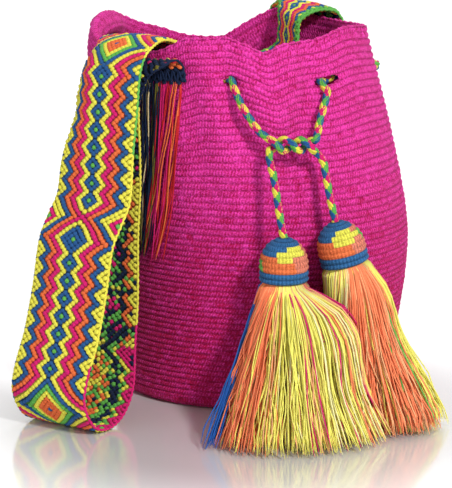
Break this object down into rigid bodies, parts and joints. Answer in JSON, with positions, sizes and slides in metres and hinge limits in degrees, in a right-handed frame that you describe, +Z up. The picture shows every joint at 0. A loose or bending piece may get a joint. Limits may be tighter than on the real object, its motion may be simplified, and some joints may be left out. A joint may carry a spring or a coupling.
{
  "type": "crochet bucket bag",
  "caption": "Crocheted bucket bag with a round base, a drawstring mouth with two tassels and a wide zigzag-patterned woven shoulder strap.",
  "frame": {"origin": "middle of the flat round base, on the surface it stands on", "axes": "+Z up through the mouth, -Y towards the front where the drawstring ties, +X to the bag's right as seen from the front"},
  "size_m": [0.3652, 0.3944, 0.3219],
  "materials": {
    "body_crochet": "matte cotton yarn",
    "strap_weave": "matte woven yarn in zigzag colours",
    "warp_ends": "matte loose yarn in mixed colours",
    "sewing_yarn": "matte yarn",
    "braided_cord": "matte braid of four colours",
    "cap_crochet": "matte yarn in bands of orange, yellow and blue",
    "neck_tie": "matte yarn",
    "left_strands": "loose yarn in mixed colours",
    "right_strands": "loose yarn in mixed colours"
  },
  "bodies": {
    "root": {"bag_body": "body_crochet", "shoulder_strap": "strap_weave", "strap_fringe_left": "warp_ends", "strap_fringe_right": "warp_ends", "strap_seam_yarn_left": "sewing_yarn", "strap_seam_yarn_right": "sewing_yarn", "drawstring": "braided_cord", "drawstring_knot_left": "braided_cord", "drawstring_knot_right": "braided_cord", "tassel_cap_left": "cap_crochet", "tassel_cap_right": "cap_crochet", "tassel_binding_left": "neck_tie", "tassel_binding_right": "neck_tie", "tassel_skirt_left": "left_strands", "tassel_skirt_right": "right_strands"}
  },
  "joints": []
}
